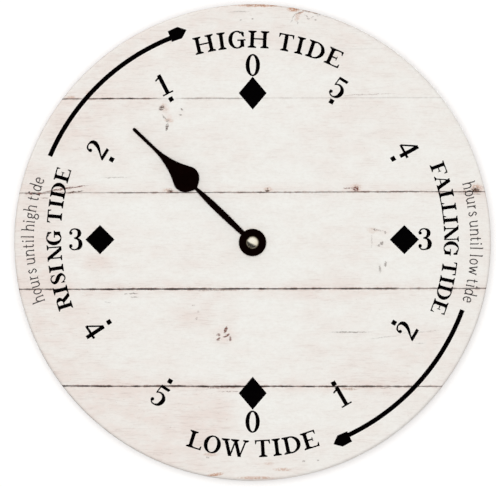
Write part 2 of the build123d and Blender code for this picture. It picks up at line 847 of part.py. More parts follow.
def movement_case():
    """The moulded front shell: the train chamber above and the open battery bay below."""
    corner = case_corner - case_wall
    case = rounded_block(-half_case, half_case, -half_case, half_case, 0, case_depth, case_corner)
    case -= block(-half_case - overrun, half_case + overrun, partition_low, half_case + overrun,
                  -overrun, cover_thickness)
    case -= rounded_block(-inner_half, inner_half, partition_top, inner_half, -overrun,
                          chamber_top, corner)
    case -= rounded_block(-inner_half, inner_half, -inner_half, partition_low, -overrun,
                          bay_floor, corner)
    case += battery_cradle()
    for place in post_places:
        case += rod(post_diameter, plate_high, chamber_top, place)
        case += rod(peg_diameter, plate_high - peg_height, plate_high, place)
    case -= rod(bushing_diameter, chamber_top - overrun, case_depth + overrun)
    case -= rod(bushing_flange_diameter, chamber_top - overrun, chamber_top + bushing_flange_thickness)
    case -= rod(pivot_diameter * 2 + 2 * running_fit, chamber_top - overrun,
                chamber_top + pivot_length + end_play, motion_place)
    case -= contact_notches()
    case -= block(-finger_notch / 2, finger_notch / 2, -half_case - overrun, -inner_half + overrun,
                  -overrun, finger_notch_depth)
    for side in (-1, 1):
        wall = side * half_case
        inside = side * (inner_half - overrun)
        window_low = cover_thickness + hook_length - hook_barb_length - loose_fit
        case -= block(min(wall * 2, inside), max(wall * 2, inside), hook_height - hook_width / 2,
                      hook_height + hook_width / 2, window_low,
                      window_low + hook_barb_length + 2 * loose_fit)
    return case


def battery_cradle():
    """Ribs across the bay floor, hollowed to the round of the cell."""
    pitch = 2 * inner_half / (cradle_ribs + 1)
    ribs = None
    for count in range(cradle_ribs):
        middle = (count - (cradle_ribs - 1) / 2) * pitch
        rib = block(middle - cradle_rib / 2, middle + cradle_rib / 2, -inner_half, partition_low,
                    battery_z, bay_floor)
        ribs = rib if ribs is None else ribs + rib
    trough = Rot(Y=90) * Cylinder(battery_diameter / 2 + battery_floor_gap, 2 * inner_half)
    return ribs - Pos(0, battery_y, battery_z) * trough


def contact_notches():
    """The gaps in the partition for the tails of the two contacts."""
    corner = case_corner - case_wall
    notches = None
    for side in (-1, 1):
        outer = side * inner_half
        inner = side * (inner_half - contact_strip - loose_fit)
        notch = block(min(outer, inner), max(outer, inner), partition_low - corner,
                      partition_top + corner, cover_thickness - overrun,
                      circuit_low - contact_strip + contact_tail + loose_fit)
        notches = notch if notches is None else notches + notch
    return notches


def rear_cover():
    """The cover over the train, with a skirt, two snap hooks, bearing bosses and the knob well."""
    cover = rounded_block(-half_case, half_case, partition_low - 2 * case_corner, half_case, 0,
                          cover_thickness, case_corner)
    cover &= block(-half_case, half_case, partition_low, half_case, 0, cover_thickness)
    skirt_outer = inner_half - loose_fit
    skirt_low = partition_top + loose_fit
    skirt_inner = skirt_outer - skirt_thickness
    skirt_top = cover_thickness + skirt_height
    corner = case_corner - case_wall
    skirt = rounded_block(-skirt_outer, skirt_outer, skirt_low, skirt_outer, cover_thickness,
                          skirt_top, corner)
    skirt -= rounded_block(-skirt_inner, skirt_inner, skirt_low + skirt_thickness, skirt_inner,
                           cover_thickness - overrun, skirt_top + overrun, corner / 2)
    cover += skirt
    for side in (-1, 1):
        cover += snap_hook(side, skirt_outer, skirt_inner)
    for place in post_places:
        rest = circuit_low if on_circuit(place) else plate_low
        cover += rod(post_diameter, cover_thickness, rest, place)
    for place in pivot_places:
        cover += rod(boss_diameter, cover_thickness, cover_thickness + pivot_boss_height, place)
    cover += rod(boss_diameter, cover_thickness, cover_thickness + pivot_boss_height)
    well = knob_diameter + 2 * knob_gap
    floor_low = knob_recess + knob_height + loose_fit * 2
    cover += rod(well + 2 * well_wall, 0, floor_low + well_floor, motion_place)
    cover -= rod(well, -overrun, floor_low, motion_place)
    cover -= rod(motion_arbor_diameter + 2 * running_fit, 0, floor_low + well_floor + overrun, motion_place)
    for place in pivot_places:
        cover -= rod(pivot_diameter + 2 * running_fit, cover_thickness + end_play,
                     cover_thickness + pivot_boss_height + overrun, place)
    return cover - rod(centre_arbor_diameter + 2 * running_fit, cover_thickness,
                       cover_thickness + pivot_boss_height + overrun)


def on_circuit(place):
    return place[0] < circuit_inset - inner_half + circuit_width and place[1] < circuit_top


def snap_hook(side, outer, inner):
    """A tongue from the skirt with a barb that stands in the window of the side wall."""
    end = cover_thickness + hook_length
    tongue = block(min(side * outer, side * inner), max(side * outer, side * inner),
                   hook_height - hook_width / 2 + loose_fit, hook_height + hook_width / 2 - loose_fit,
                   cover_thickness, end)
    reach = side * (outer + loose_fit + hook_barb)
    barb = block(min(side * outer, reach), max(side * outer, reach),
                 hook_height - hook_width / 2 + loose_fit, hook_height + hook_width / 2 - loose_fit,
                 end - hook_barb_length, end)
    return tongue + barb


def middle_plate():
    """The plate between the motion work and the train, with bearing holes and two screw posts."""
    side = inner_half - plate_fit
    plate = rounded_block(-side, side, partition_top + plate_fit, side, plate_low, plate_high,
                          case_corner - case_wall)
    for place in screw_places():
        plate += rod(stator_post_diameter, core_high, plate_low, place)
        plate -= rod(stator_screw_diameter + 2 * press_gap, core_high - overrun,
                     core_high + stator_screw_bite + end_play, place)
    for place in post_places:
        plate -= rod(peg_diameter + 2 * running_fit, plate_low - overrun, plate_high + overrun, place)
    for place in pivot_places:
        plate -= rod(pivot_diameter + 2 * running_fit, plate_low - overrun, plate_high + overrun, place)
    plate -= rod(collar_diameter + 2 * running_fit, plate_low - overrun, plate_high + overrun)
    return plate - rod(motion_arbor_diameter + 2 * running_fit, plate_low - overrun,
                       plate_high + overrun, motion_place)


pieces = [
    dial_board, face_print, hanger, rubber_gasket, front_washer, hex_nut, threaded_bushing,
    tide_hand, hand_collet, cap_nut, tide_wheel, motion_wheel, cannon_pinion, set_knob,
    centre_wheel, clutch_spring, third_wheel, fourth_wheel, intermediate_wheel, rotor,
    rotor_magnet, stator, coil_core, coil_bobbin, coil_winding, stator_screws, circuit_board,
    chip_blob, quartz_crystal, battery, positive_contact, negative_contact, movement_case,
    rear_cover, middle_plate,
]
upright = Rot(X=90)
for piece in pieces:
    export_step(upright * piece(), f"parts/{piece.__name__}.step")

seconds_in_a_turn = (2 * (intermediate_teeth / leaf_count) * (fourth_teeth / leaf_count)
                     * (third_teeth / leaf_count) * (centre_teeth / third_pinion_teeth)
                     * (motion_teeth / cannon_teeth) * (tide_teeth / motion_pinion_teeth))
print("one turn of the hand takes", round(seconds_in_a_turn), "seconds")
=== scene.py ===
import bpy
import bmesh
import json
from math import cos, degrees, hypot, pi, radians, sin
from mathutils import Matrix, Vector
from mathutils.geometry import delaunay_2d_cdt


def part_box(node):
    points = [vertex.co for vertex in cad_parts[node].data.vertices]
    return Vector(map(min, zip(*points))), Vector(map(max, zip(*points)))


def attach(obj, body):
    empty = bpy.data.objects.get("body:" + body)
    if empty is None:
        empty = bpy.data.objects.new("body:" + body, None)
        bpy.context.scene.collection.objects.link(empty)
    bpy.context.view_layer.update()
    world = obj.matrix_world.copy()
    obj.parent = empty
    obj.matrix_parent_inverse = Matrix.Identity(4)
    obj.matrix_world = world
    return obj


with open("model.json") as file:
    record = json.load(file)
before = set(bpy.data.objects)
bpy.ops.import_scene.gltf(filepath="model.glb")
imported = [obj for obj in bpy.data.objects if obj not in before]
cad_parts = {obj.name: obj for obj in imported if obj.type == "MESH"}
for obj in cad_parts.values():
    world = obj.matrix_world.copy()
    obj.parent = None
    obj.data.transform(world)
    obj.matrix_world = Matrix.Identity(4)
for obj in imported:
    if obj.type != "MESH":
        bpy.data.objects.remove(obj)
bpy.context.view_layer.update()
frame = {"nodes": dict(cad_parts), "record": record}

# Lengths are in metres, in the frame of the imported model: X to the right, Y into the wall, Z up.
MM = 0.001
face_low, face_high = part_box("face_print")
face_y = face_low[1]
dial_radius = (face_high[0] - face_low[0]) / 2

# The photograph, in pixels
photo_width = 497
photo_height = 487
dial_centre_px = (252, 242)
dial_radius_px = 238.5
pixel = dial_radius / dial_radius_px


def from_pixel(x, y):
    """A place on the dial, to the right of and above its centre, from a place in the photograph."""
    return ((x - dial_centre_px[0]) * pixel, (dial_centre_px[1] - y) * pixel)


def on_ring(centre_px, radius_px, clock_angle):
    """A place on the dial from a ring in the photograph and a clock angle in degrees from the top."""
    turn = radians(clock_angle)
    return from_pixel(centre_px[0] + radius_px * sin(turn), centre_px[1] - radius_px * cos(turn))


# Materials

def linear(red, green, blue):
    """A colour for a shader from the numbers that a picture shows, from 0 to 255."""
    def channel(value):
        share = value / 255
        return share / 12.92 if share <= 0.04045 else ((share + 0.055) / 1.055) ** 2.4
    return (channel(red), channel(green), channel(blue), 1)


def put(tree, socket, value):
    """Links an output to a socket, or sets the socket to a plain value."""
    if isinstance(value, bpy.types.NodeSocket):
        tree.links.new(value, socket)
    else:
        socket.default_value = value


def add_node(tree, kind, inputs=None, **settings):
    """A new node with its settings and inputs. An input is a plain value or another node's output."""
    node = tree.nodes.new(kind)
    for name, value in settings.items():
        setattr(node, name, value)
    for slot, value in (inputs or {}).items():
        put(tree, node.inputs[slot], value)
    return node


def in_scene(name, data):
    """A new object in the scene."""
    body = bpy.data.objects.new(name, data)
    bpy.context.scene.collection.objects.link(body)
    return body


class Finish:
    """A material under construction. Most calls add nodes and give back an output."""

    def __init__(self, name, metallic=0.0, specular=0.5):
        self.material = bpy.data.materials.new(name)
        self.material.use_nodes = True
        self.tree = self.material.node_tree
        self.shader = self.tree.nodes["Principled BSDF"]
        self.shader.inputs["Metallic"].default_value = metallic
        self.shader.inputs["Specular IOR Level"].default_value = specular
        self.position = self.add("ShaderNodeTexCoord").outputs["Object"]

    def add(self, kind, inputs=None, **settings):
        return add_node(self.tree, kind, inputs, **settings)

    def math(self, operation, first, second=0.5, third=0.5, clamp=False):
        inputs = {0: first, 1: second, 2: third}
        return self.add("ShaderNodeMath", inputs, operation=operation, use_clamp=clamp).outputs[0]

    def axes(self):
        """The place on the piece as three numbers in millimetres."""
        scaled = self.add("ShaderNodeVectorMath", {0: self.position, "Scale": 1 / MM}, operation="SCALE")
        return self.add("ShaderNodeSeparateXYZ", {0: scaled.outputs[0]}).outputs

    def facing(self):
        """The part of the surface's direction that goes along Y."""
        normal = self.add("ShaderNodeTexCoord").outputs["Normal"]
        return self.add("ShaderNodeSeparateXYZ", {0: normal}).outputs["Y"]

    def vector(self, x, y, z):
        return self.add("ShaderNodeCombineXYZ", {0: x, 1: y, 2: z}).outputs[0]

    def stretched(self, x, y, z):
        """The place on the piece, multiplied along each axis."""
        return self.add("ShaderNodeVectorMath", {0: self.position, 1: (x, y, z)},
                        operation="MULTIPLY").outputs[0]

    def noise(self, vector, detail=3.0, roughness=0.55):
        inputs = {"Vector": vector, "Scale": 1.0, "Detail": detail, "Roughness": roughness}
        return self.add("ShaderNodeTexNoise", inputs).outputs[0]

    def between(self, value, low, high, start=0.0, end=1.0):
        """Smoothly from start to end while value goes from low to high."""
        inputs = {0: value, 1: low, 2: high, 3: start, 4: end}
        return self.add("ShaderNodeMapRange", inputs, interpolation_type="SMOOTHSTEP").outputs[0]

    def mix(self, factor, first, second):
        return self.add("ShaderNodeMix", {0: factor, 6: first, 7: second}, data_type="RGBA").outputs[2]

    def done(self, colour, roughness, height, depth):
        """Connects the surface. Depth is how far the bump goes up and down, in millimetres."""
        inputs = {"Height": height, "Strength": 1.0, "Distance": depth * MM}
        bump = self.add("ShaderNodeBump", inputs).outputs[0]
        for name, value in (("Base Color", colour), ("Roughness", roughness), ("Normal", bump)):
            put(self.tree, self.shader.inputs[name], value)
        return self.material


# The printed boards. All places in these tables are pixels of the photograph.
# Each joint: its height at the left and at the right edge, and its darkness and width along the way.
joints_px = (
    ((51.5, 47.0), ((0, 0), (268, 0), (276, 0.05), (380, 0.05), (390, 0), (497, 0)), 1.2),
    ((98.6, 96.8), ((0, 0.5), (90, 0.75), (104, 1), (150, 0.9), (160, 0.15), (176, 0.1), (186, 0.45),
                    (238, 0.45), (250, 0.15), (425, 0.14), (497, 0.1)), 1.1),
    ((192.6, 191.0), ((0, 0.5), (60, 0.6), (80, 0.35), (100, 0.5), (116, 0.85), (260, 0.95), (340, 0.75),
                      (360, 0.95), (400, 1), (410, 0.8), (455, 0.85), (465, 1), (497, 1)), 0.80),
    ((288.9, 287.8), ((0, 0.75), (120, 1), (260, 0.95), (390, 0.85), (400, 0.6), (497, 0.8)), 1.38),
    ((385.5, 386.0), ((0, 0.75), (120, 1), (260, 1), (390, 0.85), (497, 0.7)), 1.35),
)
# How far a joint leaves the straight line, and its half width as shares of the width in the table
joint_waver_px = 0.9
joint_half_width = (0.32, 0.68)
# Where a joint's line and its fringe fade, beyond its edge, and where its halo fades, beyond its middle
joint_edge_px = (-0.12, 0.15)
joint_fringe_px = (0.1, 1.3)
joint_halo_px = (1.0, 13.0)
halo_warmth = 0.42
# Each noise along a joint: how fine it is, how far apart the seeds of two joints are, and its detail
joint_waver = (0.02, 3.7, 5.0)
joint_unevenness = (0.09, 5.1, 4.0)
# Each mark: its place, its length and width, its lean in degrees (level is 0), and its strength.
brown_marks = (
    (161, 107.7, 6.4, 4, 45, 0.75), (163.8, 116.8, 6.5, 1.3, -50, 0.45), (167, 120.7, 2.6, 2.4, 0, 0.6),
    (166.5, 126.4, 7.5, 2.8, 80, 0.9), (181.4, 109, 3, 1.4, -35, 0.6), (179.7, 114.2, 3.2, 1.8, -10, 0.65),
    (374.4, 228.9, 3, 2.2, 0, 0.45), (384.4, 232, 2.2, 3.4, 0, 0.45), (381.5, 242.6, 3.6, 4.4, 0, 0.6),
    (378.7, 245, 3, 2.2, 40, 0.45), (371.2, 240.7, 13, 1.6, 88, 0.2), (385, 263.9, 6, 2.6, 85, 0.5),
    (379.4, 268, 9, 2.4, 95, 0.35), (267, 190.3, 4.6, 2.6, 0, 0.8), (267, 187.8, 1, 2.6, 0, 0.4),
    (170, 190.9, 6, 2.6, 0, 0.7), (74, 191.5, 18, 1.5, 7, 0.75), (115, 177, 26, 1.1, 0, 0.3),
    (475, 189.4, 9, 5, 0, 0.8), (470, 193.5, 26, 1.3, 0, 0.4), (350, 331.7, 40, 1.6, 0, 0.42),
    (385, 336.5, 30, 1, 6, 0.2), (420, 331.5, 40, 1, 5, 0.2), (420, 343, 10, 1, 0, 0.2),
    (125.5, 293.5, 3.5, 1.2, 0, 0.5), (133, 293, 10, 1.2, 0, 0.5), (134, 296.5, 8, 1.1, 0, 0.4),
    (107, 302, 7, 1.1, 0, 0.2), (252, 18.5, 3, 1.6, 0, 0.4), (240, 19.5, 3, 1.6, 0, 0.35),
    (240, 11, 20, 1.3, 0, 0.25), (303, 461, 3, 1.8, 0, 0.4), (207, 457, 3, 1.8, 0, 0.4),
    (318, 460, 3, 1.8, 0, 0.4), (293.6, 15.4, 6, 1.1, 52, 0.4), (299, 11.8, 9, 1.1, 22, 0.45),
    (308, 10.8, 11, 1, -4, 0.4), (316, 13, 9, 1, -22, 0.4), (291, 20, 5, 1.1, 60, 0.35),
    (297, 22, 4, 1.3, -70, 0.3), (306, 15.5, 4, 1.3, -30, 0.45), (308, 18.3, 3, 1.3, 0, 0.45),
    (312, 16.5, 3, 1.3, 40, 0.4), (315, 19.4, 3, 1.3, 0, 0.4), (317.5, 15.4, 3, 1.1, 0, 0.35),
    (385, 387.5, 12, 1.2, 0, 0.3), (349, 388.5, 14, 1.2, 0, 0.3),
)
red_marks = (
    (225.2, 329.4, 7.6, 2.8, 70, 0.85), (226.2, 335.2, 7.2, 2.4, 25, 0.8), (229.7, 338, 5.4, 2.2, 85, 0.65),
    (217.9, 334.5, 4.2, 2.4, 0, 0.8), (217.9, 338.6, 4, 2.6, 40, 0.75), (377, 229.4, 14, 1.2, -12, 0.3),
    (355.5, 188.6, 6, 5.4, 0, 0.8), (348, 187.6, 11, 1.4, 0, 0.55), (66, 187.9, 42, 1.6, 8, 0.75),
    (34, 193, 22, 2.4, 0, 0.7), (44, 197.5, 9, 1.2, 0, 0.35), (52, 190, 20, 1.4, 12, 0.6),
    (366, 94, 56, 1.1, 2, 0.28), (196, 318, 3.4, 2, 60, 0.5), (193, 305, 3.4, 1.4, 0, 0.4),
    (198, 311, 2.4, 2, 0, 0.35), (220, 387, 42, 2.2, 0, 0.5), (229, 391, 24, 1.2, 0, 0.35),
    (215, 289.8, 50, 1.4, 0, 0.35),
)
rust_marks = (
    (259, 5, 46, 3, 0, 0.75), (293, 9, 12, 4.5, 0, 0.8), (300, 12.2, 12, 1.8, 25, 0.6),
    (311, 11.4, 16, 1.6, -11, 0.5), (297, 17, 8, 4, 60, 0.3), (215, 474, 16, 2.8, 8, 0.7),
    (255, 477.5, 40, 3, 0, 0.5), (282, 469, 18, 3, 0, 0.4), (268, 463, 10, 3, 0, 0.25),
    (164, 108, 7, 9, 60, 0.22), (168.5, 120, 4, 10, 80, 0.3), (163, 104, 6, 3, 0, 0.3),
    (70, 97, 10, 4, 0, 0.35), (88, 94, 6, 6, 0, 0.35), (349, 388.5, 16, 3, 0, 0.35),
    (372, 230, 12, 6, 0, 0.2), (476, 188, 12, 9, 0, 0.5), (356, 187, 10, 8, 0, 0.35),
    (168, 190, 12, 5, 0, 0.4), (268, 189, 9, 5, 0, 0.35), (210, 454, 14, 4, 0, 0.3),
)
pink_areas = (
    (163.7, 109, 13, 13, 0, 0.6), (168.7, 116.7, 6, 10, 0, 0.5), (223.7, 334, 24, 20, 0, 0.55),
    (383, 231, 13, 9, 0, 0.35), (207, 465, 40, 24, 0, 0.5), (70, 190, 90, 16, 0, 0.7),
    (40, 240, 30, 120, 0, 0.5), (75, 330, 50, 90, 0, 0.45), (110, 105, 120, 16, 0, 0.4),
    (462, 195, 30, 26, 0, 0.5), (225, 60, 60, 20, 0, 0.2), (420, 345, 60, 60, 0, 0.35),
    (170, 440, 120, 50, 0, 0.4), (352, 190, 26, 14, 0, 0.5), (205, 422, 60, 66, 0, 0.75),
    (98, 265, 34, 22, 0, 0.55), (195, 308, 40, 34, 0, 0.45), (300, 295, 90, 12, 0, 0.3),
)
# How far the edges of the marks waver, and by how much they are drawn smaller than in the tables
mark_waver_px = 3.4
mark_trim = 0.9
# Each kind of worn mark: its table, the softness and the strength of its spots, and its colour
worn_kinds = (
    (rust_marks, 0.6, 1.3, (190, 134, 100)),
    (red_marks, 0.45, 1.4, (108, 62, 52)),
    (brown_marks, 0.45, 1.4, (80, 58, 47)),
)
# Each grain: how fine it is across and down, its seed, its detail and its roughness
grains = {
    "broad": (0.010, 0.018, 3.1, 4.0, 0.55),
    "blotch": (0.045, 0.085, 7.7, 4.0, 0.6),
    "fine": (0.24, 0.36, 1.3, 4.0, 0.8),
    "streak": (0.07, 0.7, 4.4, 3.0, 0.7),
    "speck": (0.35, 0.5, 9.2, 2.0, 0.55),
    "bend_across": (0.26, 0.42, 5.5, 4.0, 0.7),
    "bend_down": (0.24, 0.42, 2.5, 4.0, 0.7),
    "crumbs": (0.5, 0.7, 6.1, 2.0, 0.7),
}
pale_colour = (246, 245, 240)
warm_colour = (239, 227, 220)
fine_colour = (228, 223, 216)
streak_colour = (215, 201, 194)
speck_colour = (196, 184, 172)
fringe_colour = (176, 132, 116)
joint_colour = (48, 36, 33)
# The warm rim: where it begins and ends, out from the centre, and its strength at the left and right
rim_reach_mm = (85, 130)
rim_sides_mm = (-70, 60)
rim_warmth = (0.5, 0.18)
stain_softness = 0.6


def spots(finish, table, place, soft):
    """The strongest of some soft spots at each place."""
    total = 0.0
    half = (1 + soft) / 2 * mark_trim
    for mark_x, mark_y, length, width, lean, strength in table:
        inputs = {"Vector": place, "Location": (mark_x, mark_y, 0),
                  "Rotation": (0, 0, -radians(lean)), "Scale": (length * half, width * half, 1)}
        local = finish.add("ShaderNodeMapping", inputs, vector_type="TEXTURE").outputs[0]
        sphere = finish.add("ShaderNodeTexGradient", {0: local}, gradient_type="SPHERICAL")
        spot = finish.between(sphere.outputs[1], 0.0, 2 * soft / (1 + soft), 0.0, strength)
        total = finish.math("MAXIMUM", total, spot)
    return total


def joint_lines(finish, across, down):
    """How dark the joints are at each place, with the fringe beside them and the halo round them."""
    joints = 0.0
    fringes = 0.0
    halos = 0.0

    def wander(count, scale, seed_step, detail):
        """A noise that changes only along the joint."""
        place = finish.vector(finish.math("MULTIPLY", across, scale), count * seed_step, 0.0)
        return finish.noise(place, detail)

    for count, ((left, right), darkness, width) in enumerate(joints_px):
        waver = finish.math("SUBTRACT", wander(count, *joint_waver), 0.5)
        waver = finish.math("MULTIPLY", waver, joint_waver_px)
        height = finish.math("MULTIPLY_ADD", across, (right - left) / photo_width, left)
        offset = finish.math("SUBTRACT", down, finish.math("ADD", height, waver))
        offset = finish.math("ABSOLUTE", offset)
        ramp = finish.add("ShaderNodeValToRGB", {0: finish.math("DIVIDE", across, photo_width)})
        stops = ramp.color_ramp.elements
        for stop, (stop_x, value) in enumerate(darkness):
            element = stops[stop] if stop < 2 else stops.new(stop_x / photo_width)
            element.position = stop_x / photo_width
            element.color = (value, value, value, 1)
        uneven = wander(count, *joint_unevenness)
        half = finish.between(uneven, 0.3, 0.7, *[width * share for share in joint_half_width])
        dark = finish.math("MULTIPLY", ramp.outputs[0], finish.between(uneven, 0.25, 0.6, 0.8, 1.05))
        outside = finish.math("SUBTRACT", offset, half)
        line = finish.between(outside, *joint_edge_px, 1.0, 0.0)
        fringe = finish.math("MULTIPLY", finish.between(outside, *joint_fringe_px, 0.6, 0.0), dark)
        fringes = finish.math("MAXIMUM", fringes, fringe)
        joints = finish.math("MAXIMUM", joints, finish.math("MULTIPLY", line, dark))
        halo = finish.between(offset, *joint_halo_px, 1.0, 0.0)
        halos = finish.math("MAXIMUM", halos, finish.math("MULTIPLY", halo, ramp.outputs[0]))
    return joints, fringes, halos


def printed_boards():
    """Pale whitewashed boards with fine grain, dark joints, pink stains and small worn marks."""
    finish = Finish("printed_boards", specular=0.35)
    x, _, z = finish.axes()
    across = finish.math("MULTIPLY_ADD", x, MM / pixel, dial_centre_px[0])
    down = finish.math("MULTIPLY_ADD", z, -MM / pixel, dial_centre_px[1])

    def grain(name):
        across_scale, down_scale, seed, detail, roughness = grains[name]
        place = finish.vector(finish.math("MULTIPLY", across, across_scale),
                              finish.math("MULTIPLY", down, down_scale), seed)
        return finish.noise(place, detail, roughness)

    def bent(place, name):
        """A place that wavers, which makes the edges of the marks ragged."""
        bend = finish.math("MULTIPLY", finish.math("SUBTRACT", grain(name), 0.5), mark_waver_px)
        return finish.math("ADD", place, bend)

    def worn(table, soft, strength):
        """Marks of a table, ragged and broken up into crumbs."""
        broken = finish.math("MULTIPLY", spots(finish, table, ragged, soft), crumbs)
        return finish.math("MULTIPLY", broken, strength, clamp=True)

    broad = grain("broad")
    blotch = grain("blotch")
    fine = grain("fine")
    streak = grain("streak")
    speck = grain("speck")
    ragged = finish.vector(bent(across, "bend_across"), bent(down, "bend_down"), 0.0)
    joints, fringes, halos = joint_lines(finish, across, down)

    # Warm at the rim, mostly on the left, round the joints and in the stained areas
    reach = finish.math("ADD", finish.math("POWER", x, 2.0), finish.math("POWER", z, 2.0))
    rim = finish.between(finish.math("SQRT", reach), *rim_reach_mm)
    rim = finish.math("MULTIPLY", rim, finish.between(x, *rim_sides_mm, *rim_warmth))
    warmth = finish.math("ADD", rim, finish.math("MULTIPLY", halos, halo_warmth))
    warmth = finish.math("MAXIMUM", warmth, spots(finish, pink_areas, ragged, stain_softness))
    warmth = finish.math("ADD", warmth, finish.between(broad, 0.35, 0.7, -0.12, 0.22))
    warmth = finish.math("MULTIPLY", warmth, finish.between(blotch, 0.3, 0.7, 0.6, 1.3))
    warmth = finish.math("ADD", warmth, finish.between(blotch, 0.3, 0.7, 0.04, 0.30), clamp=True)
    colour = finish.mix(warmth, linear(*pale_colour), linear(*warm_colour))
    colour = finish.mix(finish.between(fine, 0.35, 0.75, 0.0, 0.40), colour, linear(*fine_colour))
    streaked = finish.math("MULTIPLY", finish.between(streak, 0.52, 0.66), finish.math("ADD", warmth, 0.1))
    colour = finish.mix(finish.math("MULTIPLY", streaked, 0.5), colour, linear(*streak_colour))
    speckle = finish.math("MULTIPLY", finish.between(speck, 0.66, 0.78), finish.math("ADD", warmth, 0.1))
    colour = finish.mix(finish.math("MULTIPLY", speckle, 0.6), colour, linear(*speck_colour))
    crumbs = finish.between(grain("crumbs"), 0.46, 0.62, 1.0, 0.2)
    for table, soft, strength, mark_colour in worn_kinds:
        colour = finish.mix(worn(table, soft, strength), colour, linear(*mark_colour))
    fringes = finish.math("MULTIPLY", fringes, finish.between(fine, 0.42, 0.62))
    colour = finish.mix(fringes, colour, linear(*fringe_colour))
    colour = finish.mix(joints, colour, linear(*joint_colour))

    roughness = finish.between(blotch, 0.3, 0.7, 0.50, 0.62)
    return finish.done(colour, roughness, fine, 0.003)


def plain_finish(name, colour, other, roughness, grain=(400, 400, 400), metallic=0.0, specular=0.5,
                 depth=0.01, bump_grain=(3000, 3000, 3000)):
    """A finish of one colour that wanders towards another, with small changes of gloss and height."""
    finish = Finish(name, metallic, specular)
    wander = finish.noise(finish.stretched(*grain))
    fine = finish.noise(finish.stretched(*bump_grain), detail=2.0)
    colour = finish.mix(finish.between(wander, 0.3, 0.7), linear(*colour), linear(*other))
    return finish.done(colour, finish.between(wander, 0.3, 0.7, *roughness), fine, depth)


def hardboard():
    """Bare brown board, painted white on its front and round the front edge."""
    finish = Finish("hardboard", specular=0.3)
    frontward = finish.math("MULTIPLY", finish.facing(), -1)
    wander = finish.noise(finish.stretched(520, 520, 700))
    fine = finish.noise(finish.stretched(1500, 1500, 2200), detail=2.0)
    bare = finish.mix(finish.between(wander, 0.3, 0.7), linear(136, 104, 75), linear(116, 87, 62))
    colour = finish.mix(finish.between(frontward, 0.05, 0.3), bare, linear(252, 250, 247))
    return finish.done(colour, finish.between(wander, 0.3, 0.7, 0.7, 0.85), fine, 0.03)


def nickel_painted_dark_edges():
    """Bright metal with painted shade on its steep edges: where the surface turns away from facing along Y,
    it is coloured dark olive in place of the dark reflection there.
    """
    finish = Finish("nickel_painted_dark_edges", metallic=1.0)
    level = finish.math("ABSOLUTE", finish.facing())
    wander = finish.noise(finish.stretched(400, 400, 400))
    bright = finish.mix(finish.between(wander, 0.3, 0.7), linear(244, 239, 222), linear(236, 228, 204))
    # Painted shade: steep edges get dark olive, standing in for the dark reflection at the rim of the dome
    colour = finish.mix(finish.between(level, 0.55, 0.9), linear(66, 54, 36), bright)
    return finish.done(colour, finish.between(wander, 0.3, 0.7, 0.24, 0.30), wander, 0.001)


turned = (2500, 300, 2500)
finishes = {
    "print": printed_boards(),
    "board": hardboard(),
    "plated_steel": plain_finish("plated_steel", (205, 204, 200), (182, 181, 178), metallic=1.0,
                                 grain=(120, 120, 900), roughness=(0.28, 0.42), depth=0.004),
    "rubber": plain_finish("black_rubber", (34, 34, 35), (26, 26, 27), roughness=(0.75, 0.9), depth=0.02),
    "brass": plain_finish("turned_brass", (214, 182, 112), (190, 156, 90), metallic=1.0,
                          roughness=(0.22, 0.38), depth=0.004, bump_grain=turned),
    "black_hand": plain_finish("black_paint", (11, 3, 2), (7, 2, 1), specular=0.003,
                               roughness=(0.34, 0.46), depth=0.004),
    "nickel": nickel_painted_dark_edges(),
    "case_plastic": plain_finish("black_plastic", (42, 42, 44), (34, 34, 36), specular=0.4,
                                 roughness=(0.48, 0.62), depth=0.03, bump_grain=(5200, 5200, 5200)),
    "knob_plastic": plain_finish("grey_plastic", (74, 74, 77), (64, 64, 67), roughness=(0.42, 0.55)),
    "wheel_plastic": plain_finish("white_acetal", (232, 230, 222), (222, 220, 210),
                                  roughness=(0.35, 0.48)),
    "green_wheel": plain_finish("green_acetal", (146, 178, 158), (132, 166, 144), roughness=(0.35, 0.48)),
    "magnet": plain_finish("dark_magnet", (94, 94, 98), (76, 76, 80), metallic=0.6,
                           roughness=(0.5, 0.65), depth=0.02),
    "soft_iron": plain_finish("soft_iron", (190, 188, 184), (170, 168, 165), metallic=1.0,
                              grain=(100, 900, 900), roughness=(0.35, 0.5)),
    "copper_wire": plain_finish("copper_wire", (186, 104, 60), (150, 78, 42), metallic=0.7,
                                grain=(6000, 300, 300), roughness=(0.3, 0.42), depth=0.05,
                                bump_grain=(9000, 100, 100)),
    "circuit": plain_finish("green_circuit", (58, 112, 66), (44, 92, 52), grain=(500, 500, 500),
                            roughness=(0.3, 0.45)),
    "resin": plain_finish("black_resin", (26, 26, 27), (18, 18, 19), roughness=(0.12, 0.22), depth=0.01),
    "cell_metal": plain_finish("cell_sleeve", (176, 178, 182), (158, 160, 165), metallic=0.9,
                               grain=(60, 900, 900), roughness=(0.28, 0.4), depth=0.004),
}
printed_black = plain_finish("printed_black", (3, 2, 3), (5, 4, 4), grain=(300, 300, 900),
                             specular=0.0, roughness=(0.55, 0.7), depth=0.003)
printed_grey = plain_finish("printed_grey", (54, 50, 50), (70, 65, 65), grain=(900, 900, 900),
                            specular=0.05, roughness=(0.55, 0.7), depth=0.003)

for part in frame["record"]["subparts"]:
    mesh = frame["nodes"][part["node"]].data
    mesh.materials.clear()
    mesh.materials.append(finishes[part["material_slot"]])


# Outlines for the lettering, in units of the height of a capital or a numeral

def bar(left, right, low, high):
    return [[(left, low), (right, low), (right, high), (left, high)]]


def slant(start, end, width):
    """A leaning stroke with level ends, as wide as given along the level."""
    half = width / 2
    return [[(start[0] - half, start[1]), (start[0] + half, start[1]),
             (end[0] + half, end[1]), (end[0] - half, end[1])]]


def disc(x, y, radius, corners=14):
    turns = [2 * pi * count / corners for count in range(corners)]
    return [[(x + radius * cos(turn), y + radius * sin(turn)) for turn in turns]]


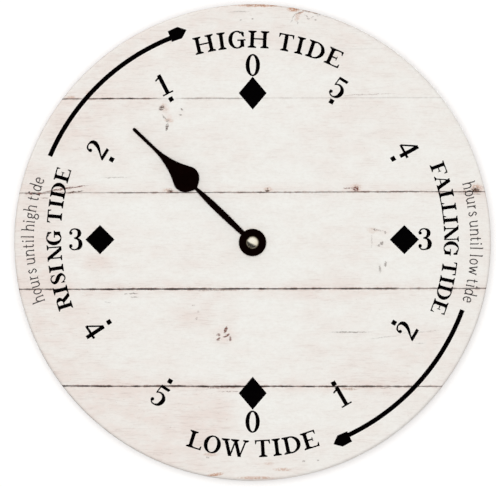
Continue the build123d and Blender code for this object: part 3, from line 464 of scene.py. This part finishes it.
def bowl(centre, reach, side, hair, start=0, end=360, steps=36):
    """A round stroke, thick at its sides and thin at its top and bottom, between two angles."""
    quads = []
    turns = [radians(start + (end - start) * count / steps) for count in range(steps + 1)]
    outer = [(centre[0] + reach[0] * cos(turn), centre[1] + reach[1] * sin(turn)) for turn in turns]
    inner = [(centre[0] + (reach[0] - side) * cos(turn), centre[1] + (reach[1] - hair) * sin(turn))
             for turn in turns]
    for count in range(steps):
        quads.append([outer[count], outer[count + 1], inner[count + 1], inner[count]])
    return quads


path_steps = 5


def smooth_path(points):
    """Points along a smooth line through the given ones."""
    padded = [points[0]] + points + [points[-1]]
    path = []
    for before, start, end, after in zip(padded, padded[1:], padded[2:], padded[3:]):
        for step in range(path_steps):
            t = step / path_steps
            path.append(tuple(
                (2 * s + (e - b) * t + (2 * b - 5 * s + 4 * e - a) * t ** 2
                 + (3 * s - b - 3 * e + a) * t ** 3) / 2
                for b, s, e, a in zip(before, start, end, after)))
    return path + [points[-1]]


def brush(points):
    """A smooth stroke through points that are each given as across, up and width."""
    path = smooth_path(points)
    sides = []
    for count, (x, y, width) in enumerate(path):
        before = path[max(count - 1, 0)]
        after = path[min(count + 1, len(path) - 1)]
        run = after[0] - before[0]
        rise = after[1] - before[1]
        half = width / 2 / hypot(run, rise)
        sides.append(((x - rise * half, y + run * half), (x + rise * half, y - run * half)))
    return [[start[0], start[1], end[1], end[0]] for start, end in zip(sides, sides[1:])]


numeral_weight = 1.22
numeral_stem = 0.185
numeral_hair = 0.072


def numeral(digit):
    """A numeral with thick sides, hairlines and round ends."""

    def stroke(points):
        return brush([(x, y, width * numeral_weight) for x, y, width in points])

    if digit == 0:
        return bowl((0, 0.5), (0.33, 0.51), numeral_stem, numeral_hair)
    if digit == 1:
        flag = [[(0.11, 1.0), (-0.25, 0.84), (-0.24, 0.77), (-0.07, 0.83)]]
        return bar(-0.075, 0.11, 0, 1) + flag + bar(-0.24, 0.29, 0, numeral_hair)
    if digit == 2:
        top = stroke([(-0.27, 0.74, 0.05), (-0.18, 0.92, 0.07), (0.0, 0.975, 0.055), (0.17, 0.89, 0.13),
                     (0.205, 0.72, 0.165), (0.10, 0.49, 0.12), (-0.10, 0.26, 0.07), (-0.28, 0.05, 0.06)])
        foot = [[(-0.31, 0), (0.29, 0), (0.31, 0.15), (-0.20, 0.15), (-0.31, 0.06)]]
        return top + foot + disc(-0.205, 0.745, 0.085)
    if digit == 3:
        upper = stroke([(-0.28, 0.79, 0.05), (-0.17, 0.95, 0.06), (0.0, 0.985, 0.055), (0.155, 0.90, 0.12),
                       (0.185, 0.75, 0.155), (0.10, 0.60, 0.09), (-0.07, 0.545, 0.045)])
        lower = stroke([(-0.07, 0.55, 0.045), (0.13, 0.50, 0.09), (0.235, 0.33, 0.165),
                       (0.20, 0.12, 0.145), (0.04, 0.015, 0.06), (-0.15, 0.02, 0.055),
                       (-0.28, 0.15, 0.05)])
        return upper + lower + disc(-0.215, 0.785, 0.08) + disc(-0.215, 0.18, 0.085)
    if digit == 4:
        edge = [[(-0.37, 0.33), (-0.275, 0.33), (0.15, 1.0), (0.05, 1.0)]]
        return edge + bar(0.03, 0.215, 0, 1) + bar(-0.37, 0.355, 0.23, 0.345)
    head = [[(-0.21, 1.0), (0.28, 1.0), (0.25, 0.86), (-0.18, 0.86)]]
    edge = [[(-0.21, 1.0), (-0.15, 1.0), (-0.19, 0.54), (-0.25, 0.54)]]
    body = stroke([(-0.235, 0.55, 0.05), (-0.09, 0.625, 0.06), (0.07, 0.615, 0.09), (0.215, 0.49, 0.145),
                  (0.245, 0.31, 0.17), (0.16, 0.10, 0.12), (-0.01, 0.01, 0.06), (-0.17, 0.03, 0.055),
                  (-0.28, 0.15, 0.05)])
    return head + edge + body + disc(-0.22, 0.175, 0.085)


def capital(letter, stem, hair):
    """A capital with level serifs, from the width of its stems and of its hairlines."""
    reach = stem / 2 + 0.135
    bracket = 0.055
    flag = 0.24
    round_side = stem * 1.08
    thin = hair * 1.15

    def serif(x, y=0, half=reach, width=stem):
        """A serif on the line at y, with its bracket towards the middle of the letter."""
        up = 1 if y < 0.5 else -1
        return [[(x - half, y), (x + half, y), (x + half, y + up * hair * 0.8),
                 (x + width / 2, y + up * (hair + bracket)), (x - width / 2, y + up * (hair + bracket)),
                 (x - half, y + up * hair * 0.8)]]

    def upright(x):
        return bar(x - stem / 2, x + stem / 2, 0, 1) + serif(x) + serif(x, 1)

    def arm(left, right, y, side=1):
        """A level hairline on the line at y that ends in a flag towards the middle of the letter."""
        up = 1 if y < 0.5 else -1
        end = right if side > 0 else left
        level = bar(left, right, min(y, y + up * hair), max(y, y + up * hair))
        return level + [[(end - side * 0.15, y), (end, y), (end, y + up * flag),
                         (end - side * 0.045, y + up * flag)]]

    middle = bar(-0.25, 0.13, 0.5 - hair / 2, 0.5 + hair / 2) + bar(0.10, 0.145, 0.38, 0.62)
    shapes = {
        "I": lambda: upright(0),
        "H": lambda: upright(-0.365) + upright(0.365) + bar(-0.365, 0.365, 0.49, 0.49 + hair),
        "T": lambda: (bar(-stem / 2, stem / 2, 0, 1) + serif(0) + arm(-0.44, 0, 1, -1)
                      + arm(0, 0.44, 1)),
        "L": lambda: upright(-0.24) + arm(-0.24, 0.40, 0),
        "F": lambda: upright(-0.25) + arm(-0.25, 0.38, 1) + middle,
        "E": lambda: upright(-0.25) + arm(-0.25, 0.37, 1) + arm(-0.25, 0.42, 0) + middle,
        "D": lambda: (upright(-0.30) + bar(-0.30, -0.09, 0, hair) + bar(-0.30, -0.09, 1 - hair, 1)
                      + bowl((-0.10, 0.5), (0.60, 0.5), round_side, hair, -90, 90)),
        "O": lambda: bowl((0, 0.5), (0.50, 0.525), round_side, hair),
        "G": lambda: (bowl((0, 0.5), (0.50, 0.525), round_side, hair, 48, 316)
                      + [[(0.42, 0.92), (0.42, 0.66), (0.34, 0.66), (0.22, 0.88), (0.30, 0.97)]]
                      + bar(0.19, 0.19 + stem, 0.06, 0.42)
                      + bar(0.02, 0.50, 0.42, 0.42 + hair)),
        "W": lambda: (slant((-0.24, 0), (-0.56, 1), stem * 0.95) + slant((-0.24, 0), (0.03, 0.95), thin)
                      + slant((0.32, 0), (0.0, 1), stem * 0.95) + slant((0.32, 0), (0.63, 1), thin)
                      + serif(-0.56, 1) + serif(-0.01, 1) + serif(0.63, 1, 0.17, thin)),
        "N": lambda: (bar(-0.41, -0.41 + thin, 0, 1) + bar(0.41 - thin, 0.41, 0, 1)
                      + slant((0.41 - stem * 0.55, 0), (-0.43, 1), stem * 1.15)
                      + serif(-0.41 + thin / 2, 0, 0.18, thin) + serif(0.41 - thin / 2, 1, 0.18, thin)
                      + bar(-0.60, -0.35, 1 - hair * 0.8, 1)),
        "R": lambda: (upright(-0.32) + bowl((-0.02, 0.74), (0.36, 0.26), round_side, hair, -90, 90)
                      + bar(-0.32, 0.0, 1 - hair, 1) + bar(-0.32, 0.0, 0.48, 0.48 + hair)
                      + slant((0.40, 0), (0.04, 0.52), stem * 1.2) + bar(0.30, 0.60, 0, hair * 0.8)),
        "A": lambda: (slant((-0.36, 0), (0.0, 0.97), thin) + slant((0.33, 0), (-0.01, 0.99), stem * 1.1)
                      + bar(-0.25, 0.20, 0.30, 0.30 + hair) + serif(-0.36, 0, 0.15, thin)
                      + serif(0.33, 0, reach * 0.92, stem)),
        "S": lambda: (brush([(0.25, 0.80, hair), (0.10, 0.96, hair), (-0.10, 0.95, hair * 1.3),
                             (-0.24, 0.80, stem * 0.75), (-0.17, 0.63, stem * 0.95),
                             (0.0, 0.52, stem * 1.1), (0.17, 0.40, stem), (0.25, 0.22, stem * 0.8),
                             (0.12, 0.05, hair * 1.3), (-0.08, 0.03, hair), (-0.27, 0.22, hair)])
                      + [[(0.29, 1.0), (0.29, 0.68), (0.25, 0.68), (0.19, 0.86), (0.25, 0.92)]]
                      + [[(-0.32, 0.0), (-0.32, 0.34), (-0.28, 0.34), (-0.21, 0.14), (-0.28, 0.08)]]),
    }
    return shapes[letter]()


small_pen = 0.091
small_rise = 0.62


def pen(*points):
    """A smooth line of even width."""
    return brush([(x, y, small_pen) for x, y in points])


def tick(x, y, left=0.08, right=0.08):
    """A short level serif."""
    return bar(x - left, x + right, y - small_pen * 0.35, y + small_pen * 0.35)


def small_letter(letter):
    """The outlines and the width of a small letter drawn with an even line."""
    line = small_rise
    top = 1.0
    arch = pen((0, 0.40), (0.09, 0.57), (0.22, 0.62), (0.34, 0.55), (0.38, 0.40), (0.38, 0))
    shapes = {
        "h": lambda: (pen((0, 0), (0, top)) + arch + tick(0, 0) + tick(0.38, 0)
                      + tick(0, top, right=0), 0.42),
        "n": lambda: (pen((0, 0), (0, line)) + arch + tick(0, 0) + tick(0.38, 0)
                      + tick(0, line, right=0), 0.42),
        "o": lambda: (bowl((0.20, 0.31), (0.24, 0.35), small_pen, small_pen, steps=20), 0.40),
        "u": lambda: (pen((0, line), (0, 0.20), (0.08, 0.03), (0.20, 0.0), (0.32, 0.08), (0.38, 0.24))
                      + pen((0.38, 0), (0.38, line)) + tick(0, line, right=0) + tick(0.38, line, right=0)
                      + tick(0.38, 0, left=0), 0.47),
        "r": lambda: (pen((0, 0), (0, line)) + pen((0, 0.40), (0.08, 0.55), (0.22, 0.60))
                      + tick(0, 0, right=0.12) + tick(0, line, right=0), 0.26),
        "s": lambda: (pen((0.28, 0.50), (0.16, 0.62), (0.02, 0.50), (0.10, 0.36), (0.23, 0.27),
                          (0.30, 0.13), (0.15, 0.0), (0.0, 0.13)), 0.32),
        "t": lambda: (pen((0.08, 0.84), (0.08, 0.18), (0.14, 0.02), (0.26, 0.06))
                      + bar(-0.05, 0.24, line - 0.07, line), 0.26),
        "i": lambda: (pen((0.05, 0), (0.05, line)) + disc(0.05, 0.86, 0.07, 8) + tick(0.05, 0)
                      + tick(0.05, line, right=0), 0.14),
        "l": lambda: (pen((0.05, 0), (0.05, top)) + tick(0.05, 0) + tick(0.05, top, right=0), 0.14),
        "g": lambda: (bowl((0.18, 0.42), (0.20, 0.22), small_pen, small_pen, steps=20)
                      + pen((0.30, 0.55), (0.42, 0.62))
                      + pen((0.06, 0.25), (0.04, 0.12), (0.20, 0.05), (0.36, -0.04), (0.36, -0.20),
                            (0.18, -0.29), (0.0, -0.22), (0.02, -0.06), (0.14, 0.03)), 0.40),
        "d": lambda: (bowl((0.20, 0.31), (0.24, 0.35), small_pen, small_pen, steps=20)
                      + pen((0.40, 0), (0.40, top)) + tick(0.40, top, right=0)
                      + tick(0.40, 0, left=0), 0.44),
        "e": lambda: (bar(0.02, 0.38, 0.31, 0.31 + small_pen * 0.8)
                      + pen((0.39, 0.34), (0.34, 0.54), (0.20, 0.62), (0.05, 0.53), (0.0, 0.31),
                            (0.07, 0.08), (0.22, 0.0), (0.37, 0.10)), 0.40),
        "w": lambda: (pen((0, line), (0.15, 0)) + pen((0.15, 0), (0.30, 0.56))
                      + pen((0.30, 0.56), (0.45, 0)) + pen((0.45, 0), (0.60, line))
                      + tick(0, line) + tick(0.60, line), 0.60),
        " ": lambda: ([], 0.05),
    }
    return shapes[letter]()


# Printed pieces, which stand a hair above the face
ink_thickness = 0.03 * MM
join_tolerance_mm = 1e-4
flat_within = radians(1)


def counterclockwise(points):
    turn = sum(a[0] * b[1] - b[0] * a[1] for a, b in zip(points, points[1:] + points[:1]))
    return points if turn > 0 else points[::-1]


def covers(outline, x, y):
    """Whether a closed outline goes round a place."""
    inside = False
    for (start_x, start_y), (end_x, end_y) in zip(outline, outline[1:] + outline[:1]):
        if (start_y > y) != (end_y > y):
            crossing = start_x + (y - start_y) * (end_x - start_x) / (end_y - start_y)
            inside = inside != (x < crossing)
    return inside


def joined(outlines):
    """Overlapping outlines as the corners and triangles of one flat shape."""
    corners = []
    faces = []
    for outline in outlines:
        faces.append(list(range(len(corners), len(corners) + len(outline))))
        corners += [Vector(point) for point in counterclockwise(outline)]
    points, _, triangles = delaunay_2d_cdt(corners, [], faces, 0, join_tolerance_mm)[:3]
    kept = []
    for triangle in triangles:
        x, y = [sum(points[corner][axis] for corner in triangle) / 3 for axis in (0, 1)]
        if any(covers(outline, x, y) for outline in outlines):
            kept.append(triangle)
    return points, kept


def printed(name, shapes, material):
    """Adds one thin solid piece on the face from flat shapes, each a list of outlines in metres."""
    mesh = bmesh.new()
    for outlines in shapes:
        corners, triangles = joined([[(x / MM, y / MM) for x, y in outline] for outline in outlines])
        points = [mesh.verts.new((corner.x * MM, face_y, corner.y * MM)) for corner in corners]
        for triangle in triangles:
            mesh.faces.new([points[index] for index in triangle])
    loose = [vertex for vertex in mesh.verts if not vertex.link_faces]
    bmesh.ops.delete(mesh, geom=loose, context="VERTS")
    bmesh.ops.dissolve_limit(mesh, angle_limit=flat_within, verts=mesh.verts, edges=mesh.edges)
    front = bmesh.ops.extrude_face_region(mesh, geom=mesh.faces[:], use_keep_orig=True)["geom"]
    moved = [item for item in front if isinstance(item, bmesh.types.BMVert)]
    bmesh.ops.translate(mesh, verts=moved, vec=(0, -ink_thickness, 0))
    bmesh.ops.recalc_face_normals(mesh, faces=mesh.faces)
    data = bpy.data.meshes.new(name)
    mesh.to_mesh(data)
    mesh.free()
    data.materials.append(material)
    piece = in_scene(name, data)
    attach(piece, "clock")


def stand(outlines, height, place, clock_angle, middle=0.5):
    """Outlines at a size and a place, turned clockwise from upright."""
    turn = -radians(clock_angle)
    x, y = place
    return [[(x + height * (u * cos(turn) - (v - middle) * sin(turn)),
              y + height * (u * sin(turn) + (v - middle) * cos(turn))) for u, v in outline]
            for outline in outlines]


# The numerals, which count the hours down to high and to low tide, with each one's share of the height
numeral_height = 21.5 * pixel
numeral_share = {0: 1.015, 1: 0.995, 2: 0.98, 3: 0.98, 4: 0.96, 5: 0.972}
# Each numeral with its place and turn
numeral_places = (
    (0, (252.3, 64.6), 0), (5, (337.9, 87.3), 31.5), (4, (407.4, 148.8), 61.5), (3, (424.2, 238.5), 0),
    (2, (406.3, 329.9), -60), (1, (340.8, 395.8), -30), (0, (252.1, 421.2), 0), (5, (159.5, 395.1), 33),
    (4, (93.4, 329.5), 57), (3, (74.9, 238.7), 0), (2, (96.6, 149.0), -57.5), (1, (162.6, 84.2), -27),
)
printed("numerals", [stand(numeral(digit), numeral_height * numeral_share[digit], from_pixel(*place), turn)
                     for digit, place, turn in numeral_places], printed_black)

# The four diamonds and the dots between them
tall_diamond = (28 * pixel, 33 * pixel)
square_diamond = (29.3 * pixel, 29.3 * pixel)
diamond_places = (
    ((252.2, 92.6), tall_diamond), ((403.8, 239.1), square_diamond),
    ((252.2, 392.7), tall_diamond), ((99.5, 239.1), square_diamond),
)
diamonds = []
for place, (width, height) in diamond_places:
    x, y = from_pixel(*place)
    diamonds.append([[(x - width / 2, y), (x, y - height / 2), (x + width / 2, y), (x, y + height / 2)]])
printed("diamonds", diamonds, printed_black)

dot_side = 4.7 * pixel
dot_places = {
    30: (331.0, 101.0), 60: (392.6, 158.3), 120: (393.5, 322.2), 150: (333.3, 383.1),
    210: (169.6, 380.8), 240: (108.5, 321.6), 300: (111.2, 159.0), 330: (170.6, 98.7),
}
printed("hour_dots", [stand(bar(-0.5, 0.5, 0, 1), dot_side, from_pixel(*place), angle)
                      for angle, place in dot_places.items()], printed_black)

# The two curved arrows: the centre and radius of each one's ring and the clock angle of its tail
arrow_rings = ((dial_centre_px, 220.2, 293.1), ((250.9, 231.8), 224.8, 110.2))
arrow_width_px = 4.7
arrow_length_px = 173
head_outward_px = 1.7
arrow_head_px = [(0, -5.7), (10.7, -6.2), (18.0, 0), (10.7, 6.2), (0, 5.7)]
arrow_steps = 40


def curved_arrow(centre, ring, tail):
    """A band along its ring that ends in a straight blunt head."""
    half = arrow_width_px / 2
    turn = degrees(arrow_length_px / ring)
    angles = [tail + turn * count / arrow_steps for count in range(arrow_steps + 1)]
    inner = [on_ring(centre, ring - half, angle) for angle in angles]
    outer = [on_ring(centre, ring + half, angle) for angle in angles]
    band = [list(corners) for corners in zip(inner, inner[1:], outer[1:], outer)]
    neck = on_ring(centre, ring + head_outward_px, angles[-1])
    return band + stand([arrow_head_px], pixel, neck, angles[-1], middle=0)


printed("curved_arrows", [curved_arrow(*ring) for ring in arrow_rings], printed_black)

# The widths of the stems and of the hairlines, as shares of the height of a capital
regular = (0.215, 0.085)
bold = (0.245, 0.078)
less_bold = (0.235, 0.075)
cap_height_px = 17.2
bold_cap_height_px = 14.7
# The words of the tide: letters and their clock angles, ring and its radius, height, widths and turn
words = {
    "high_words": ("HIGHTIDE", (-12.7, -7.8, -3.5, 2.5, 10.1, 14.2, 18.9, 24.4),
                   (249, 245), 206.2, cap_height_px, regular, 0),
    "low_words": ("LOWTIDE", (197.2, 192.2, 185.4, 176.9, 172.7, 168.0, 162.3),
                  (252, 258), 190.2, cap_height_px, regular, 180),
    "rising_words": ("RISINGTIDE", (252.8, 255.9, 258.9, 261.6, 265.7, 269.5, 275.1, 278.4, 282.0, 286.2),
                     (274.8, 235.6), 221.5, bold_cap_height_px, bold, 0),
    "falling_words": ("FALLINGTIDE", (69.6, 73.3, 77.9, 81.8, 84.5, 88.5, 92.7, 98.4, 101.9, 105.6, 110.1),
                      (252, 238.6), 198.9, bold_cap_height_px, less_bold, 0),
}
for name, (letters, angles, centre, ring, height, (stem, hair), turned_over) in words.items():
    shapes = [stand(capital(letter, stem, hair), height * pixel, on_ring(centre, ring, angle),
                    angle + turned_over)
              for letter, angle in zip(letters, angles)]
    printed(name, shapes, printed_black)

# The small lines that say what the numerals count: letters, angles of the ends, ring and its radius
small_height_px = 12.3
small_middle = 0.45
small_lines = {
    "high_hours": ("hours until high tide", 249.3, 290.6, (203, 239), 175.6),
    "low_hours": ("hours until low tide", 74.6, 105.5, dial_centre_px, 223.7),
}
for name, (line, start, end, centre, ring) in small_lines.items():
    letters = [small_letter(letter) for letter in line]
    room = radians(end - start) * ring / small_height_px
    gap = (room - sum(width for _, width in letters)) / (len(letters) - 1)
    shapes = []
    along = 0
    for outlines, width in letters:
        centred = [[(u - width / 2, v) for u, v in outline] for outline in outlines]
        angle = start + (end - start) * (along + width / 2) / room
        if centred:
            shapes.append(stand(centred, small_height_px * pixel, on_ring(centre, ring, angle),
                                angle, small_middle))
        along += width + gap
    printed(name, shapes, printed_grey)

# The wall behind the clock, which shows its shadow
wall_half = 2.5
wall_gap = 0.5 * MM
wall_own_light = 0.45
wall_lit_share = 0.62


def wall_material():
    """White that takes part of its light from the lamps, and is clear when seen from behind."""
    material = bpy.data.materials.new("wall")
    material.use_nodes = True
    tree = material.node_tree
    tree.nodes.clear()
    own = add_node(tree, "ShaderNodeEmission", {"Strength": wall_own_light}).outputs[0]
    grey = (wall_lit_share, wall_lit_share, wall_lit_share, 1)
    lit = add_node(tree, "ShaderNodeBsdfDiffuse", {"Color": grey}).outputs[0]
    both = add_node(tree, "ShaderNodeAddShader", {0: own, 1: lit}).outputs[0]
    clear = add_node(tree, "ShaderNodeBsdfTransparent").outputs[0]
    behind = add_node(tree, "ShaderNodeNewGeometry").outputs["Backfacing"]
    shown = add_node(tree, "ShaderNodeMixShader", {0: behind, 1: both, 2: clear}).outputs[0]
    add_node(tree, "ShaderNodeOutputMaterial", {"Surface": shown})
    return material


def wall():
    data = bpy.data.meshes.new("wall")
    corners = [(-wall_half, wall_gap, -wall_half), (wall_half, wall_gap, -wall_half),
               (wall_half, wall_gap, wall_half), (-wall_half, wall_gap, wall_half)]
    data.from_pydata(corners, [], [(0, 1, 2, 3)])
    data.materials.append(wall_material())
    plane = in_scene("wall", data)
    plane.visible_diffuse = False
    plane.visible_shadow = False


wall()

# Light: even from all round, with large soft lamps in front and behind
world_light = 0.24
# A mirroring piece shows a room that is white towards this axis and dark away from it
reflection_axis = (0.45, -0.2, 0.89)
reflection_edge = (-0.28, -0.02)
low_reflection = 0.05
# Each lamp: its name, its place, its size and its share of the light that shows white as white
front_lamps = (
    ("key_lamp", (-0.038, -2.2, 0.044), 0.68, 0.73),
    ("left_edge_lamp", (-1.4, 0.1, 1.6), 0.6, 0.28),
    ("right_edge_lamp", (1.6, 0.1, 1.4), 0.6, 0.20),
)
back_lamps = (
    ("back_key_lamp", (0.6, 2.0, 0.7), 0.9, 0.45),
    ("back_fill_lamp", (-0.7, 2.0, -0.3), 0.9, 0.25),
)


def lamp(name, place, size, share):
    """A round lamp that faces the clock."""
    data = bpy.data.lights.new(name, "AREA")
    data.shape = "DISK"
    data.size = size
    data.energy = share * pi ** 2 * Vector(place).length_squared
    body = in_scene(name, data)
    body.location = place
    body.rotation_euler = (-Vector(place)).to_track_quat("-Z", "Y").to_euler()
    return body


# The dome of the cap mirrors the room but not the lamps in front
for settings in front_lamps:
    lamp(*settings).visible_glossy = False
for settings in back_lamps:
    lamp(*settings)

world = bpy.data.worlds.new("world")
bpy.context.scene.world = world
world.use_nodes = True
tree = world.node_tree
background = tree.nodes["Background"]
background.inputs["Color"].default_value = (1, 1, 1, 1)
rays = add_node(tree, "ShaderNodeLightPath").outputs
direction = add_node(tree, "ShaderNodeTexCoord").outputs["Generated"]
along_axis = add_node(tree, "ShaderNodeVectorMath", {0: direction, 1: reflection_axis},
                      operation="DOT_PRODUCT").outputs["Value"]
edge_inputs = {"Value": along_axis, "From Min": reflection_edge[0], "From Max": reflection_edge[1],
               "To Min": low_reflection}
reflected = add_node(tree, "ShaderNodeMapRange", edge_inputs, interpolation_type="SMOOTHSTEP").outputs[0]
strength = world_light
for ray, shown in (("Is Glossy Ray", reflected), ("Is Transmission Ray", 1.0), ("Is Camera Ray", 1.0)):
    strength = add_node(tree, "ShaderNodeMix", {0: rays[ray], 2: strength, 3: shown}).outputs[0]
put(tree, background.inputs["Strength"], strength)

# Camera, straight in front, with a long lens
camera_distance = 2.0
sensor_width = 36.0
view_width = photo_width * pixel
camera_x, camera_z = from_pixel((photo_width - 1) / 2, (photo_height - 1) / 2)
camera_data = bpy.data.cameras.new("camera")
camera_data.sensor_width = sensor_width
camera_data.lens = sensor_width * camera_distance / view_width
camera = in_scene("camera", camera_data)
camera.location = (camera_x, face_y - camera_distance, camera_z)
camera.rotation_euler = (radians(90), 0, 0)
bpy.context.scene.camera = camera
bpy.context.scene.view_settings.view_transform = "Standard"
